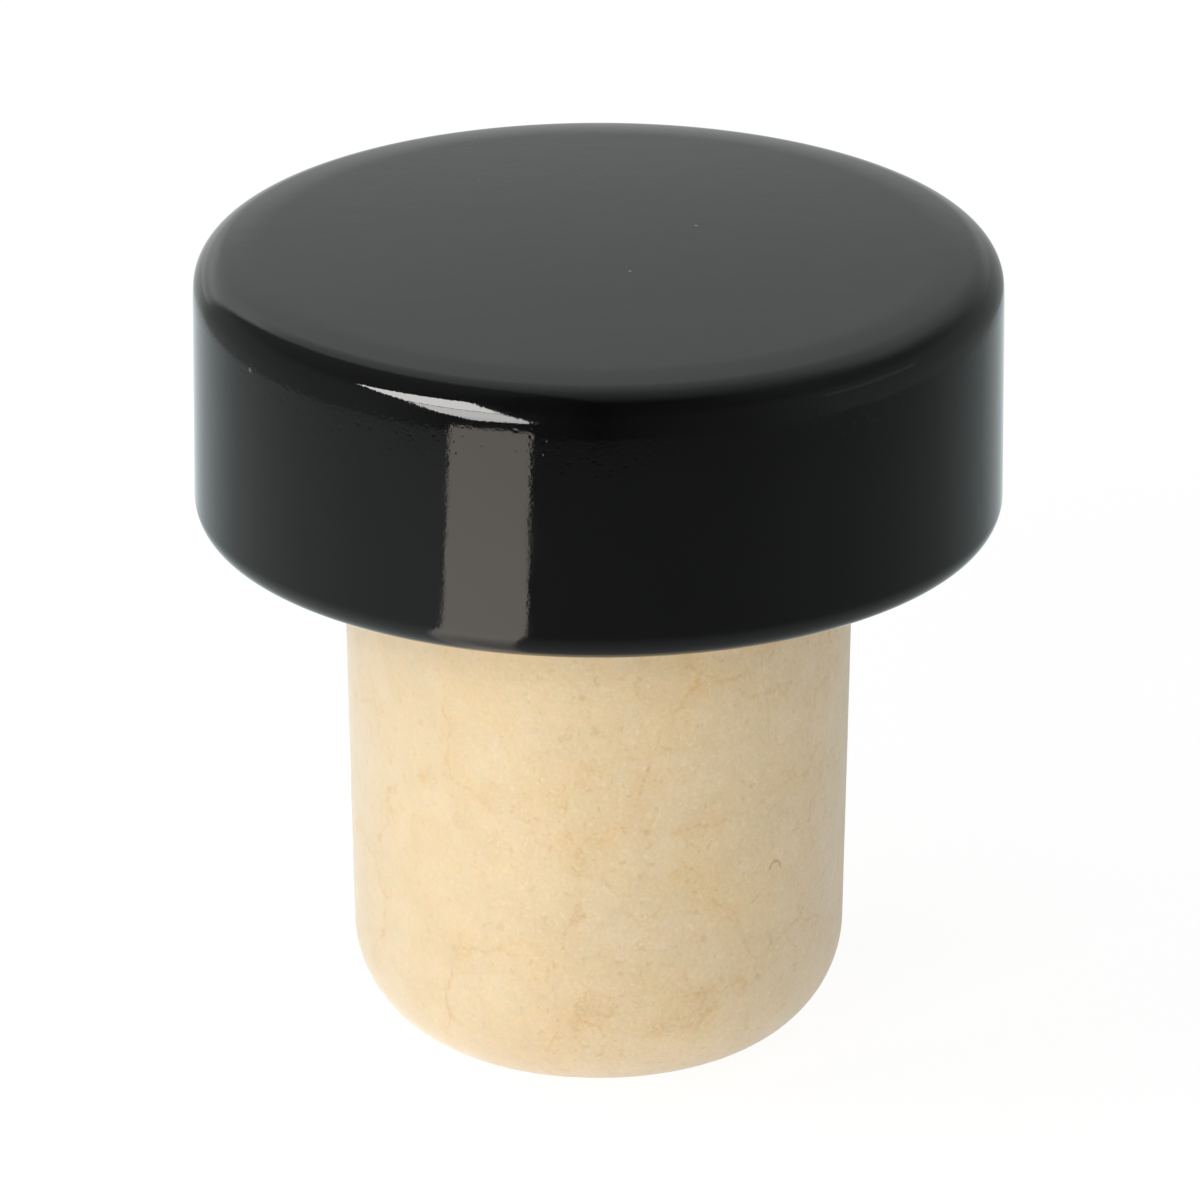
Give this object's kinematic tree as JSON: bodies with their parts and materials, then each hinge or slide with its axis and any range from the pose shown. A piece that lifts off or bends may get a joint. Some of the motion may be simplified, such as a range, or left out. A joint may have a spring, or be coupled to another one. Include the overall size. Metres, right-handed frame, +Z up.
{
  "type": "bottle stopper",
  "caption": "Bottle stopper: a low, round, gloss-black head with softly rounded edges, glued onto a tapered beige cork shank with a rounded tip that plugs a bottle mouth.",
  "frame": {"origin": "centre of the shank's flat tip, which the stopper stands on", "axes": "+Z up the stopper's axis, from the tip to the head"},
  "size_m": [0.03, 0.03, 0.0311],
  "materials": {
    "lacquer": "high-gloss black lacquer on turned wood",
    "cork": "matte, fine-grained moulded cork with a faint speckle"
  },
  "bodies": {
    "root": {"head": "lacquer", "shank": "cork"}
  },
  "joints": []
}
